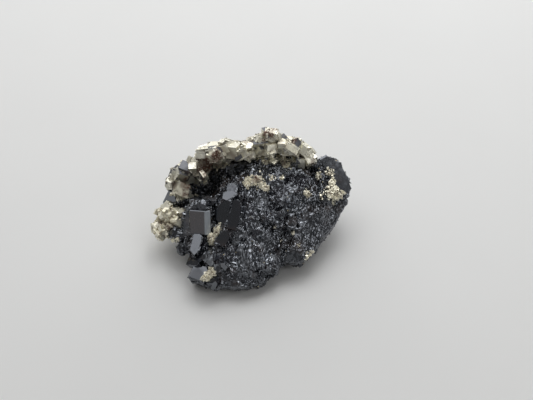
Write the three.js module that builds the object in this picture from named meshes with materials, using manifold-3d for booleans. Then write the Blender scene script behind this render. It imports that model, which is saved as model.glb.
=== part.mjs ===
// Pyrite with sphalerite: a hand specimen, in millimetres, +Z up, resting on a flat break at z = 0.
//
// A wedge-shaped mass of black sphalerite carries everything else. Its broad etched face slopes down
// towards -Y, and larger flat-faced sphalerite crystals stand out of its left side and its right end.
// A crust of intergrown pyrite crystals caps the high back edge, a rounded pyrite cluster sits at the
// left, and small pyrite tufts and patches are scattered over the sphalerite. Each aggregate is one
// solid, and pyrite is cut to fit over the sphalerite it grew on.

import * as THREE from "three";
import { ConvexGeometry } from "three/addons/geometries/ConvexGeometry.js";
import { mergeVertices } from "three/addons/utils/BufferGeometryUtils.js";
import Module from "manifold-3d";

const wasm = await Module();
wasm.setup();

// Driving dimensions of the sphalerite mass

const CROWN = [3, 10.5, 23.5]; // highest point of the mass, under the crust
const RIM = [
  [29.6, 5.0, 13.5],
  [27.4, -1.0, 11],
  [23.6, -6.4, 9],
  [18.8, -12.0, 8],
  [14.8, -15.6, 7],
  [10.0, -15.6, 6],
  [6.4, -19.4, 5],
  [1.5, -22.4, 4.5],
  [-8, -23.2, 4.5],
  [-12.8, -22.8, 4.5],
  [-16.4, -18.2, 5],
  [-18.6, -12.5, 7],
  [-20.6, -6, 9],
  [-23.5, 1.5, 11],
  [-24, 9, 12],
  [-19.5, 16, 12],
  [-8, 20, 12],
  [6, 21, 12],
  [18, 19, 13],
  [25.6, 13, 14],
]; // widest line round the mass, from the right-hand tip clockwise as seen from above
const FOOT = [0, -1.5]; // middle of the underside
const SINK = 3.2; // how far the rounded underside would reach below the flat break
const UNDERCUT = 0.8; // below 1 the underside stays full, and above 1 it draws in quickly below the rim
const UNDER_FALL = 1.15; // above 1 the sides stay upright for longer before they turn under
const CROWN_FULLNESS = 1.45; // 1 is a straight slope from rim to crown, and more is a fuller dome
const CORE = [0, 0, 9]; // point that the mass's roughness swells out from
const BLOCK = 120; // edge of the blocks that cut the underside flat and the broken sides back
const MASS_DETAIL = 9; // splits of each edge of the icosahedron that the mass is shaped from

const LUMP = { size: 4.6, height: 0.75 }; // coarse roughness: lumps and ledges
const GRAIN = { size: 1.9, height: 0.45 }; // fine roughness: etched grain

// Hollows (negative) and swells (positive) of the upper side: centre, reach and height
const RELIEF = [
  { x: -13.5, y: 7.6, reach: 4.8, height: -8.5 }, // deep hollow below the crust's left arm
  { x: -4.2, y: 9.8, reach: 3.2, height: -4.5 }, // hollow below the middle of the crust
  { x: -21.6, y: 5.4, reach: 3.2, height: -2.6 }, // seat of the crust's left foot
  { x: 9.6, y: -9.7, reach: 1.9, height: -1.9 }, // pit in the etched face
  { x: 7.3, y: -2.7, reach: 2.3, height: -1.3 }, // shallow dip above it
  { x: 0.5, y: -18.0, reach: 5.0, height: 2.2 }, // rolled front edge
  { x: -4.5, y: -13.0, reach: 2.6, height: -1.2 }, // groove behind the roll
  { x: 21.0, y: 2.0, reach: 7.0, height: 1.8 }, // swell below the right-hand crystal
];

// Flat-faced crystals, sphalerite here and pyrite below: middle of the main face, the way it faces, its
// outline in that plane (across, up), the width of the chamfer round it, and how deep the crystal runs
const BLADES = [
  {
    at: [25.0, 6.4, 19.4],
    facing: [0.2, -0.62, 0.76],
    outline: [
      [-5.2, 4.4], [-2.8, 6.6], [-0.4, 7.3], [3.6, 3.7], [4.5, -0.4], [5.0, -4.4], [2.0, -7.4], [-5, -5.4],
    ],
    chamfer: 0.5,
    deep: 9,
  }, // tall blade at the right-hand end
  {
    at: [-16.3, -6.0, 15.5],
    facing: [-0.28, -0.78, 0.56],
    outline: [
      [-4.7, -0.9], [-4.2, 1.6], [-1.6, 4.9], [0.8, 6.4], [3.4, 5.8], [4.6, 2.4], [5.1, -3.4], [-1.7, -7.5],
      [-3.6, -7.2],
    ],
    chamfer: 1.4,
    deep: 9,
  }, // large left-hand crystal with a stepped border
  {
    at: [-15.9, -12.8, 11.6],
    facing: [-0.25, -0.35, 0.9],
    outline: [[-2.6, 2.6], [-0.8, 3.6], [0.9, 2.3], [2.0, -2.1], [1.5, -3.3], [-0.8, -2.7]],
    chamfer: 0.4,
    deep: 7,
  }, // bright upright blade in front of it
  {
    at: [-14.2, -20.0, 7.0],
    facing: [-0.1, -0.25, 0.96],
    outline: [[-3.5, -2.2], [-3.3, 2.4], [0.6, 2.6], [2.6, 0.6], [1.8, -2.4]],
    chamfer: 0.3,
    deep: 5.8,
  }, // block at the front left corner
  {
    at: [-8.1, -5.8, 17.5],
    facing: [-0.5, -0.66, 0.56],
    outline: [[-3.4, -1.4], [-2.6, 1.8], [-1.2, 4.1], [1.1, 5.2], [3.9, -3.0], [1.3, -3.8], [-1.5, -3.6]],
    chamfer: 0.7,
    deep: 8,
  }, // dark block at the left of the etched face, its left-hand side
  {
    at: [-4.5, -6.5, 18.2],
    facing: [0.1, -0.66, 0.75],
    outline: [[-1.8, 3.8], [0.8, 4.2], [2.2, 3.5], [2.1, 0.3], [1.0, -2.7], [-0.3, -5.2], [-2.7, -4.3]],
    chamfer: 0.3,
    deep: 8,
  }, // its right-hand side
  {
    at: [-6.2, -2.2, 21.4],
    facing: [-0.08, -0.18, 0.98],
    outline: [[-1.5, -1.9], [-2.0, -0.2], [-1.2, 1.3], [0.8, 2.0], [2.4, 1.4], [1.2, -0.6], [0.2, -2.1]],
    chamfer: 0.25,
    deep: 6,
  }, // grey face above it
  {
    at: [-5.1, 0.3, 21.8],
    facing: [0.1, -0.3, 0.95],
    outline: [[-2.2, -0.6], [-1.4, 1.3], [0.5, 1.5], [1.7, 0.5], [0.4, -1.8]],
    chamfer: 0.25,
    deep: 6,
  }, // smaller grey face behind that
  {
    at: [-7.8, -12.2, 14.0],
    facing: [-0.2, -0.5, 0.84],
    outline: [[-2.3, -2.4], [-1.6, 1.8], [0.6, 3.0], [2.4, 0.6], [1.4, -2.8]],
    chamfer: 0.6,
    deep: 6,
  }, // dark facets below the front tuft
  {
    at: [-24.5, 2.4, 13.2],
    facing: [-0.72, -0.5, 0.48],
    outline: [[-3.4, -3.4], [-3.2, 2.4], [0.2, 4.0], [3.2, 1.8], [2.6, -3.2]],
    chamfer: 0.8,
    deep: 7,
  }, // dark crystal behind the left cluster
];

// Smaller, blocky sphalerite crystals: centre and radius
const BLOCKS = [
  [-11.6, -16.4, 10.0, 2.5],
  [-8.8, -18.4, 8.6, 2.3],
  [-15.2, -16.2, 6.8, 2.4],
  [-17.4, -10.4, 5.8, 2.2],
  [-17.2, -14.6, 5.2, 1.9],
  [-21.4, -6.2, 7.6, 2.8],
  [-20.4, -9.4, 5.0, 2.3],
  [-10.8, -21.2, 5.2, 2.5],
  [-12.2, -1.6, 17.0, 2.2],
  [-16.6, 0.4, 14.6, 2.0],
  [24.8, 12.0, 12.4, 3.4],
  [13.2, 15.6, 6.0, 3.2],
  [-12.6, 16.0, 10.6, 2.6],
];

// Broken sides at the back: a point on each break and the way it faces
const BREAKS = [
  { at: [1, 18.4, 8], facing: [0.1, 0.98, -0.16] },
  { at: [-17.6, 13.6, 8], facing: [-0.66, 0.7, -0.26] },
  { at: [19.6, 15.2, 8], facing: [0.62, 0.76, 0.2] },
  { at: [8, 16.4, 2.6], facing: [0.22, 0.7, -0.68] },
];

// Driving dimensions of the pyrite

const FIT_GAP = 0.3; // room left between pyrite and the sphalerite below it

// Centre line of the crust along the high back edge, from its left foot to its right end
const CRUST_LINE = [
  [-20.6, 6.0, 15.6],
  [-22.6, 6.8, 15.6],
  [-22.8, 8.8, 17.0],
  [-17.6, 10.6, 19.8],
  [-12.6, 12.6, 22.6],
  [-6.4, 13.4, 24.0],
  [-0.4, 13.6, 25.0],
  [5.4, 13.8, 25.6],
  [10.8, 13.2, 25.4],
  [15.2, 12.6, 23.2],
];
const CRUST = { crystals: 29, spread: 2.0, least: 1.6, most: 2.8, seed: 12 };

// A lower row of crystals down the back of the crust
const BACK_DROP = [0, 3.8, -4.2]; // from the crust's centre line to the middle of that row
const BACK_ROW = { crystals: 13, spread: 1.8, least: 2.3, most: 3.4, seed: 30 };

// Large pyrite crystals that stand out of the crust: centre and radius
const CRUST_PEAKS = [
  [6.4, 14.8, 28.4, 2.5],
  [3.0, 14.4, 27.2, 2.1],
  [10.0, 14.4, 26.8, 2.0],
  [13.2, 13.8, 26.0, 2.3],
  [16.0, 13.4, 24.8, 1.9],
  [-24.0, 7.2, 15.8, 2.4],
  [-0.2, 12.0, 23.6, 2.2],
  [17.4, 11.8, 21.8, 2.2],
];

// Pyrite crystals with a broad flat face, along the front of the crust
const PLATES = [
  {
    at: [-23.2, 9.6, 18.4],
    facing: [-0.45, -0.25, 0.86],
    outline: [[-0.4, -3.3], [-2.3, -1.0], [-2.0, 2.2], [0.3, 3.0], [2.1, 0.6], [2.3, -1.5]],
    chamfer: 0.5,
    deep: 4.5,
  }, // left shoulder
  {
    at: [-16.6, 12.3, 21.6],
    facing: [-0.35, -0.4, 0.85],
    outline: [[-1.7, -2.9], [-0.8, 2.0], [-0.2, 3.6], [0.8, 2.6], [1.6, -1.7], [0.2, -3.7]],
    chamfer: 0.4,
    deep: 4,
  }, // long edge above the shoulder
  {
    at: [-11.6, 14.4, 25.2],
    facing: [-0.2, -0.05, 0.98],
    outline: [[-0.2, -3.0], [-1.9, 0], [-0.9, 2.3], [1.5, 1.8], [1.5, -1.1]],
    chamfer: 0.3,
    deep: 4,
  }, // grey plate at the left of the top
  {
    at: [-5.6, 13.0, 26.4],
    facing: [0.1, -0.35, 0.93],
    outline: [[-3.5, 2.1], [-1.2, 2.5], [1.5, 1.0], [3.8, -0.8], [3.1, -2.7], [-0.5, -2.0], [-3.1, -0.1]],
    chamfer: 0.35,
    deep: 4,
  }, // long striated plate
  {
    at: [-0.8, 12.5, 27.4],
    facing: [0.05, -0.22, 0.97],
    outline: [[-2.1, 1.5], [0.1, 1.6], [2.2, -0.1], [0.7, -1.5], [-0.8, -1.4]],
    chamfer: 0.3,
    deep: 3.6,
  }, // bright plate beside it
  {
    at: [6.1, 10.9, 26.4],
    facing: [0.06, -0.17, 0.98],
    outline: [[-0.7, 1.4], [1.1, 1.1], [1.1, -1.0], [-0.5, -1.3], [-1.1, 0]],
    chamfer: 0.2,
    deep: 3.6,
  }, // brightest face, below the peak
  {
    at: [-14.4, 7.0, 20.6],
    facing: [0.06, -0.17, 0.98],
    outline: [[-1.0, 1.3], [0.6, 1.4], [1.1, -0.9], [-0.3, -1.6]],
    chamfer: 0.2,
    deep: 4,
  }, // bright face over the deep hollow
  {
    at: [13.9, 12.3, 25.0],
    facing: [-0.2, -0.5, 0.84],
    outline: [[-1.7, 0.5], [0, 2.2], [1.1, 0.6], [1.0, -1.9], [-0.4, -1.4]],
    chamfer: 0.3,
    deep: 3.6,
  }, // right-hand plate
  {
    at: [17.2, 12.6, 24.6],
    facing: [0.4, -0.3, 0.86],
    outline: [[0, 2.0], [1.9, 0.9], [1.2, -1.5], [-1.4, -1.4], [-1.7, 0.1]],
    chamfer: 0.3,
    deep: 4,
  }, // right end of the crust
];

// The rounded cluster at the left: centres and radii of its two lobes
const CLUSTER_LOBES = [
  { at: [-24.4, -1.4, 10.4], reach: 2.6, crystals: 8, least: 1.3, most: 2.0, seed: 41 },
  { at: [-26.8, -3.7, 7.6], reach: 2.2, crystals: 6, least: 1.2, most: 1.8, seed: 43 },
];

// Tufts and patches on the sphalerite: plan places and radius of their crystals
const TUFTS = {
  pyrite_tuft_front: [[-11.0, -11.6, 1.25], [-11.4, -10.2, 1.15], [-10.1, -10.4, 1.1], [-9.2, -9.3, 1.2]],
  pyrite_tuft_low: [[-12.2, -21.2, 1.3], [-11.2, -20.4, 1.2], [-10.9, -19.0, 0.95], [-13.3, -21.6, 0.9]],
  pyrite_patch_right: [
    [25.2, 3.4, 1.5], [26.6, 2.2, 1.3], [24.0, 2.0, 1.3],
    [25.4, 0.8, 1.25], [24.6, 5.0, 1.2], [23.8, 6.6, 1.1],
  ],
  pyrite_patch_middle: [
    [2.4, 3.8, 1.25], [1.0, 2.8, 1.1], [3.6, 2.4, 1.2], [-0.8, 3.4, 1.2], [4.6, 1.4, 1.1],
  ],
};

const SPHALERITE = new THREE.MeshStandardMaterial({ color: 0x1b1c20, roughness: 0.35, metalness: 0 });
const PYRITE = new THREE.MeshStandardMaterial({ color: 0xb9a878, roughness: 0.3, metalness: 1 });

// Repeatable numbers

function randomFrom(seed) {
  let state = seed;
  return () => {
    state = (state + 0x6d2b79f5) | 0;
    let t = Math.imul(state ^ (state >>> 15), 1 | state);
    t = (t + Math.imul(t ^ (t >>> 7), 61 | t)) ^ t;
    return ((t ^ (t >>> 14)) >>> 0) / 2 ** 32;
  };
}

// A fixed number from -1 to 1 for each whole-numbered place
function latticeValue(x, y, z) {
  const wave = Math.sin(x * 127.1 + y * 311.7 + z * 74.7) * 43758.5453;
  return 2 * (wave - Math.floor(wave)) - 1;
}

// Smooth noise from -1 to 1 with features about one size across
function noise(point, size) {
  const scaled = point.clone().divideScalar(size);
  const cell = scaled.clone().floor();
  const ease = scaled.sub(cell).toArray().map((t) => t * t * (3 - 2 * t));
  let value = 0;
  for (const i of [0, 1])
    for (const j of [0, 1])
      for (const k of [0, 1]) {
        const weight = [i, j, k].reduce((w, side, n) => w * (side ? ease[n] : 1 - ease[n]), 1);
        value += weight * latticeValue(cell.x + i, cell.y + j, cell.z + k);
      }
  return value;
}

// Solids and meshes

function solidOf(geometry) {
  const bare = new THREE.BufferGeometry().setAttribute("position", geometry.getAttribute("position"));
  bare.setIndex(geometry.index);
  const merged = mergeVertices(bare, 1e-4);
  return new wasm.Manifold(
    new wasm.Mesh({
      numProp: 3,
      vertProperties: merged.getAttribute("position").array,
      triVerts: new Uint32Array(merged.index.array),
    }),
  );
}

function geometryOf(solid) {
  const { vertProperties, triVerts } = solid.getMesh();
  return new THREE.BufferGeometry()
    .setAttribute("position", new THREE.BufferAttribute(vertProperties, 3))
    .setIndex(new THREE.BufferAttribute(triVerts, 1));
}

function joined(solids) {
  return solids.reduce((whole, solid) => whole.add(solid));
}

function largestPiece(solid) {
  return solid.decompose().reduce((best, piece) => (piece.volume() > best.volume() ? piece : best));
}

// The sphalerite mass: a ball of even triangles, shaped to the crown, the rim and the underside

function reliefAt(x, y) {
  const bump = ({ x: cx, y: cy, reach, height }) =>
    height * Math.exp(-((x - cx) ** 2 + (y - cy) ** 2) / reach ** 2);
  return RELIEF.reduce((sum, feature) => sum + bump(feature), 0);
}

function roughened(point) {
  const outward = point.clone().sub(new THREE.Vector3(...CORE)).normalize();
  const rise = LUMP.height * noise(point, LUMP.size) + GRAIN.height * noise(point, GRAIN.size);
  return point.addScaledVector(outward, rise);
}

// A place on the mass: round the rim by one turn, and from the crown (0) over the rim (1) to the foot (2)
function massPoint(rim, turn, level) {
  const point = rim.getPointAt(turn);
  if (level <= 1) {
    const inward = 1 - level;
    const crown = new THREE.Vector3(...CROWN);
    const rise = (crown.z - point.z) * (1 - (1 - inward) ** CROWN_FULLNESS);
    point.set(...point.clone().lerp(crown, inward).toArray().slice(0, 2), point.z + rise);
    point.z += Math.min(1, 4 * inward) * reliefAt(point.x, point.y);
  } else {
    const angle = (Math.min(level, 2) - 1) * (Math.PI / 2);
    const share = Math.max(0, Math.cos(angle)) ** UNDERCUT;
    point.x = FOOT[0] + share * (point.x - FOOT[0]);
    point.y = FOOT[1] + share * (point.y - FOOT[1]);
    point.z -= (point.z + SINK) * Math.sin(angle) ** UNDER_FALL;
  }
  return roughened(point);
}

function massGeometry(grow) {
  const rim = new THREE.CatmullRomCurve3(RIM.map((p) => new THREE.Vector3(...p)), true);
  const ball = new THREE.IcosahedronGeometry(1, MASS_DETAIL);
  const geometry = mergeVertices(ball.deleteAttribute("normal").deleteAttribute("uv"), 1e-4);
  const positions = geometry.getAttribute("position");
  for (let n = 0; n < positions.count; n += 1) {
    const direction = new THREE.Vector3().fromBufferAttribute(positions, n);
    const turn = (Math.atan2(-direction.y, direction.x) / (2 * Math.PI) + 1) % 1;
    const level = Math.acos(THREE.MathUtils.clamp(direction.z, -1, 1)) / (Math.PI / 2);
    positions.setXYZ(n, ...massPoint(rim, turn, level));
  }
  geometry.computeVertexNormals();
  const normals = geometry.getAttribute("normal");
  for (let n = 0; n < positions.count; n += 1) {
    const point = new THREE.Vector3().fromBufferAttribute(positions, n);
    point.addScaledVector(new THREE.Vector3().fromBufferAttribute(normals, n), grow);
    positions.setXYZ(n, ...point);
  }
  return geometry;
}

// Crystals

function facingMatrix(at, facing) {
  const normal = new THREE.Vector3(...facing).normalize();
  const across = new THREE.Vector3(0, 0, 1).cross(normal).normalize();
  const up = normal.clone().cross(across);
  return new THREE.Matrix4().makeBasis(across, up, normal).setPosition(...at);
}

// A crystal with one flat main face of a given outline, chamfered edges and a narrower root
function bladeSolid({ at, facing, outline, chamfer, deep }, grow) {
  const ring = (inset, z) =>
    outline.map(([u, v]) => {
      const length = Math.hypot(u, v);
      const share = (length - inset + grow) / length;
      return new THREE.Vector3(share * u, share * v, z);
    });
  const points = [...ring(chamfer, grow), ...ring(0, -chamfer + grow), ...ring(chamfer, -deep - grow)];
  return solidOf(new ConvexGeometry(points).applyMatrix4(facingMatrix(at, facing)));
}

// Face normals of a cubic crystal form: every cyclic order and sign of its three indices
function formNormals([h, k, l]) {
  const normals = new Map();
  for (const order of [[h, k, l], [k, l, h], [l, h, k]])
    for (const sx of [1, -1])
      for (const sy of [1, -1])
        for (const sz of [1, -1]) {
          const normal = new THREE.Vector3(sx * order[0], sy * order[1], sz * order[2]);
          normals.set(normal.toArray().map((v) => v + 0).join(), normal.normalize());
        }
  return [...normals.values()];
}

// The solid that several crystal forms bound, each given by its indices and its distance from the centre
function crystalGeometry(forms) {
  const planes = forms.flatMap(({ hkl, distance }) =>
    formNormals(hkl).map((normal) => new THREE.Plane(normal, -distance)),
  );
  const corners = [];
  for (const [i, a] of planes.entries())
    for (const [j, b] of planes.entries())
      for (const [k, c] of planes.entries()) {
        if (!(i < j && j < k)) continue;
        const matrix = new THREE.Matrix3().set(...a.normal, ...b.normal, ...c.normal);
        if (Math.abs(matrix.determinant()) < 1e-6) continue;
        const reach = new THREE.Vector3(-a.constant, -b.constant, -c.constant);
        const corner = reach.applyMatrix3(matrix.invert());
        if (planes.every((plane) => plane.distanceToPoint(corner) < 1e-6)) corners.push(corner);
      }
  return new ConvexGeometry(corners);
}

const PYRITE_FORMS = [
  crystalGeometry([{ hkl: [1, 0, 0], distance: 0.74 }]),
  crystalGeometry([{ hkl: [2, 1, 0], distance: 0.86 }]),
];
const SPHALERITE_FORM = crystalGeometry([
  { hkl: [1, 1, 0], distance: 0.85 },
  { hkl: [1, 1, 1], distance: 0.86 },
]);

function turnedCrystal(form, at, radius, random) {
  const angles = [random(), random(), random()].map((share) => share * Math.PI);
  const turn = new THREE.Quaternion().setFromEuler(new THREE.Euler(...angles));
  const size = new THREE.Vector3().setScalar(radius);
  const place = new THREE.Matrix4().compose(new THREE.Vector3(...at), turn, size);
  return solidOf(form.clone().applyMatrix4(place));
}

function pyriteCrystal(at, radius, random) {
  const form = PYRITE_FORMS[Math.floor(random() * PYRITE_FORMS.length)];
  return turnedCrystal(form, at, radius, random);
}

// Sphalerite: the mass with its crystals grown into one solid

function sphaleriteSolid(grow) {
  const random = randomFrom(11);
  const blocks = BLOCKS.map(([x, y, z, radius]) =>
    turnedCrystal(SPHALERITE_FORM, [x, y, z], radius + grow, random),
  );
  const blades = BLADES.map((blade) => bladeSolid(blade, grow));
  const block = new THREE.BoxGeometry(BLOCK, BLOCK, BLOCK).translate(0, 0, BLOCK / 2 + grow);
  const breaks = BREAKS.map(({ at, facing }) =>
    solidOf(block.clone().applyMatrix4(facingMatrix(at, facing))),
  );
  const below = solidOf(block.clone().rotateX(Math.PI));
  const mass = breaks.reduce((left, broken) => left.subtract(broken), solidOf(massGeometry(grow)));
  return joined([mass, ...blades, ...blocks]).subtract(below);
}

// Pyrite

function randomOffset(spread, random) {
  return [0, 0, 0].map(() => spread * (2 * random() - 1));
}

function rowOfCrystals({ crystals, spread, least, most, seed }, line, shift) {
  const random = randomFrom(seed);
  const made = [];
  for (let n = 0; n < crystals; n += 1) {
    const centre = line.getPointAt(n / (crystals - 1));
    const offset = randomOffset(spread, random);
    const at = centre.toArray().map((v, axis) => v + shift[axis] + offset[axis]);
    made.push(pyriteCrystal(at, least + (most - least) * random(), random));
  }
  return made;
}

function crustSolid() {
  const line = new THREE.CatmullRomCurve3(CRUST_LINE.map((p) => new THREE.Vector3(...p)));
  const random = randomFrom(3);
  const peaks = CRUST_PEAKS.map(([x, y, z, radius]) => pyriteCrystal([x, y, z], radius, random));
  return joined([
    ...rowOfCrystals(CRUST, line, [0, 0, 0]),
    ...rowOfCrystals(BACK_ROW, line, BACK_DROP),
    ...peaks,
    ...PLATES.map((plate) => bladeSolid(plate, 0)),
  ]);
}

function lobeCrystals({ at, reach, crystals, least, most, seed }) {
  const random = randomFrom(seed);
  const golden = Math.PI * (3 - Math.sqrt(5));
  const made = [pyriteCrystal(at, reach * 1.15, random)];
  for (let n = 0; n < crystals; n += 1) {
    const direction = new THREE.Vector3().setFromSphericalCoords(
      reach,
      Math.acos(1 - (2 * (n + 0.5)) / crystals),
      golden * n,
    );
    const seat = direction.toArray().map((v, axis) => at[axis] + v);
    made.push(pyriteCrystal(seat, least + (most - least) * random(), random));
  }
  return made;
}

function tuftSolid(places, surface, seed) {
  const random = randomFrom(seed);
  const down = new THREE.Vector3(0, 0, -1);
  const above = 100;
  return joined(
    places.map(([x, y, radius]) => {
      const hit = new THREE.Raycaster(new THREE.Vector3(x, y, above), down).intersectObject(surface)[0];
      return pyriteCrystal([x, y, hit.point.z + 0.25 * radius], radius, random);
    }),
  );
}

// The specimen

function specimen() {
  const sphalerite = sphaleriteSolid(0);
  const seat = sphaleriteSolid(FIT_GAP);
  const surface = new THREE.Mesh(geometryOf(sphalerite), SPHALERITE);
  const crust = largestPiece(crustSolid().subtract(seat));
  const cluster = largestPiece(joined(CLUSTER_LOBES.flatMap(lobeCrystals)).subtract(seat));
  const group = new THREE.Group();
  const addMesh = (name, solid, material) => {
    const mesh = new THREE.Mesh(geometryOf(solid), material);
    mesh.name = name;
    group.add(mesh);
  };
  addMesh("sphalerite_mass", sphalerite, SPHALERITE);
  addMesh("pyrite_crust", crust, PYRITE);
  addMesh("pyrite_cluster_left", cluster, PYRITE);
  Object.entries(TUFTS).forEach(([name, places], n) => {
    addMesh(name, largestPiece(tuftSolid(places, surface, 60 + n).subtract(seat)), PYRITE);
  });
  return group;
}

// The origin is at the middle of the specimen's footprint, on the surface that it rests on
const stone = specimen();
const box = new THREE.Box3().setFromObject(stone);
const middle = box.getCenter(new THREE.Vector3());
stone.position.set(-middle.x, -middle.y, -box.min.z);

const part = new THREE.Group();
part.add(stone);

export default part;
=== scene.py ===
"""Pyrite with sphalerite: the looks of a hand specimen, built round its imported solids."""

import math

import bmesh
import bpy
import numpy as np
from bpy.props import FloatProperty, FloatVectorProperty, IntProperty, PointerProperty
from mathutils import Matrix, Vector, noise
from mathutils.bvhtree import BVHTree


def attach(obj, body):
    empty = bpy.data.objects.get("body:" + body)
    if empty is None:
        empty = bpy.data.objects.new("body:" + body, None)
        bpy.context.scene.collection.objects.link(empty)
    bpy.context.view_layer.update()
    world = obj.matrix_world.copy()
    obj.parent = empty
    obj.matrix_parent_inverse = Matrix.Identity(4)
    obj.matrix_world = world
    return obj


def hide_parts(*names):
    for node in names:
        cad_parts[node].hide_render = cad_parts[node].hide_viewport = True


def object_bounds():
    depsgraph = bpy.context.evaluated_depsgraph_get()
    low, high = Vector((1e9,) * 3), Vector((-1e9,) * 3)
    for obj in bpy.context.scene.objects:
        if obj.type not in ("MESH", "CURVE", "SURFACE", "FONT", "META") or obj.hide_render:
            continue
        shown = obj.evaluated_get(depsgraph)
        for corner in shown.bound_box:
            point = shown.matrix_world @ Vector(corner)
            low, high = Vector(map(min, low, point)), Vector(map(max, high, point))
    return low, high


bl_info = {
    "name": "Pyrite with Sphalerite",
    "version": (1, 0, 0),
    "blender": (4, 5, 0),
    "location": "3D View > Sidebar > Specimen",
    "description": "Builds a hand specimen of pyrite with sphalerite round its packed solids",
    "category": "Mesh",
}

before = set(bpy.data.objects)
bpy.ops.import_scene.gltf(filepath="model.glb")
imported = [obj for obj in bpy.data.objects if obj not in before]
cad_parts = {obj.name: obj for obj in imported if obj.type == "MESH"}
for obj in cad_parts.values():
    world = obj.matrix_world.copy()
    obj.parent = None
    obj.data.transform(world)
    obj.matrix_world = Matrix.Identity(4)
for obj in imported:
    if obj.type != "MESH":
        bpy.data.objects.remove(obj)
CAD_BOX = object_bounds()
BODY = "root"
MM = 0.001
SENSOR = 36.0
CLIP_START = 10 * MM

CRUST = "pyrite_crust"
FLAT_GROWTHS = ("pyrite_patch_right", "pyrite_patch_middle")
# Each growth with its shares of the middling and of the small crystals, and how large the small ones are
GROWTHS = {
    CRUST: (1.0, 0.4, 1.0),
    "pyrite_cluster_left": (0.0, 0.3, 2.9),
    "pyrite_tuft_front": (0.0, 2.6, 1.0),
    "pyrite_tuft_low": (0.0, 2.6, 1.0),
    "pyrite_patch_right": (0.0, 2.6, 0.9),
    "pyrite_patch_middle": (0.0, 2.6, 0.9),
}

# Places are given where the photograph shows them: across, down and reach, in its pixels
PHOTO_SIZE = (533, 400)

# Where small pyrite grains lie on the sphalerite
GRAIN_SPOTS = (
    (330, 173, 5),
    (333, 180, 5),
    (331, 190, 7),
    (336, 196, 7),
    (334, 202, 4),
    (343, 193, 4),
    (321, 196, 4),
    (308, 193, 5),
    (319, 175, 4),
    (248, 181, 7),
    (257, 176, 7),
    (263, 184, 7),
    (259, 188, 4),
    (272, 178, 4),
    (282, 178, 3),
    (288, 165, 5),
    (280, 160, 5),
    (266, 162, 5),
    (309, 256, 6),
    (176, 240, 4),
    (276, 227, 2),
    (283, 240, 2),
    (293, 233, 2),
    (299, 245, 2),
    (228, 165, 4),
    (196, 196, 3),
    (216, 229, 5),
    (212, 237, 5),
    (219, 226, 4),
    (208, 277, 5),
    (212, 272, 4),
)

# Where the crust's lower edge runs down on to the sphalerite
FRINGE_SPOTS = (
    (180, 199, 5),
    (189, 195, 5),
    (199, 182, 6),
    (207, 176, 7),
    (216, 170, 7),
    (224, 166, 6),
    (226, 159, 6),
    (237, 157, 6),
    (248, 157, 7),
    (259, 158, 7),
    (270, 159, 7),
    (281, 160, 7),
    (292, 160, 7),
    (303, 161, 6),
)

# Where the pyrite is stained brown
STAIN_SPOTS = (
    (208, 164, 16),
    (201, 170, 9),
    (217, 156, 10),
    (187, 186, 13),
    (295, 141, 6),
    (171, 230, 10),
    (259, 179, 7),
    (270, 134, 8),
)

# Faces of the crust that stay bare: across, down and tone, from just above 0, dark, to 1, bright
BARE_FACES = (
    (173, 168, 0.06),
    (184, 167, 0.05),
    (195, 156, 0.9),
    (212, 144, 0.3),
    (232, 146, 0.55),
    (248, 144, 0.95),
    (271, 150, 1.0),
    (202, 173, 1.0),
    (296, 150, 0.75),
    (306, 152, 0.85),
    # Painted shade: the face in the hollow of the crust gets a dark tone
    (295, 141, 0.04),
)
# Only small crystals grow within this reach of a bare face
BARE_REACH = 3.0 * MM

# Where crystal faces are overgrown, and so etched
OVERGROWN_SPOTS = (
    (320, 172, 9),
    (325, 182, 9),
    (332, 191, 9),
    (340, 198, 8),
    (322, 196, 12),
    (174, 231, 7),
    (176, 240, 6),
    (180, 250, 7),
)

# Where shade is painted on the crust as darker, duller faces, and the share of its tone that a face there
# keeps
PAINTED_SHADE_SPOTS = (
    (170, 184, 18),
    (181, 172, 18),
    (194, 163, 13),
    (208, 152, 9),
)
PAINTED_SHADE_SHARE = 0.4

# Where the etching glitters most, and how many laths grow elsewhere
GLITTER_SPOTS = (
    (255, 255, 18),
    (243, 243, 12),
    (268, 262, 11),
    (247, 269, 10),
    (292, 203, 11),
    (300, 216, 9),
    (262, 203, 9),
    (213, 258, 10),
)
GLITTER_BASE = 0.2

# Where the etching is shallow and dark, along the rim at the lower right, and how deep and smooth it is there
CALM_SPOTS = (
    (336, 207, 11),
    (331, 217, 12),
    (325, 227, 12),
    (318, 236, 12),
    (310, 245, 12),
    (302, 253, 11),
    (292, 259, 9),
)
CALM_DEPTH = 0.25
CALM_SMOOTHNESS = 0.28

# Crystal faces that are dull instead of shining
DULL_SPOTS = ((196, 275, 10),)

# The share of a spot's reach that it fills wholly in a material, and how steeply it rises on a mesh
SPOT_CORE = 0.35
SPOT_RISE = 1.6

# Corners of a solid nearer than this are one, and faces that turn less than this lie in one plane
MERGE_REACH = 0.002 * MM
FLAT_TURN = math.radians(0.8)

# A flat face of the sphalerite is a crystal's if its area lies between these square millimetres, if it has
# as many edges as this, and if this share of its rim turns as sharply as this
CRYSTAL_AREAS = (0.5, 130)
CRYSTAL_EDGES = 4
SHARP_SHARE = 0.7
SHARP_TURN = math.radians(24)

# The plate on the stepped crystal: its place, the slopes of its sides, the cut of its edges, how squarely
# its top and its side with painted light look their way, and how smooth the face under it is
PLATE_SPOT = (200, 222)
PLATE_SLOPES = (0.1, 0.38)
PLATE_BEVEL = 0.22 * MM
PLATE_TOP = 0.97
PLATE_SIDE = 0.3
BORDER_SMOOTHNESS = 0.85
# Corners of each side of a block, counted across, up and out
BLOCK_SIDES = ((0, 2, 6, 4), (1, 5, 7, 3), (0, 1, 3, 2), (4, 6, 7, 5), (0, 4, 5, 1), (2, 3, 7, 6))

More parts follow.
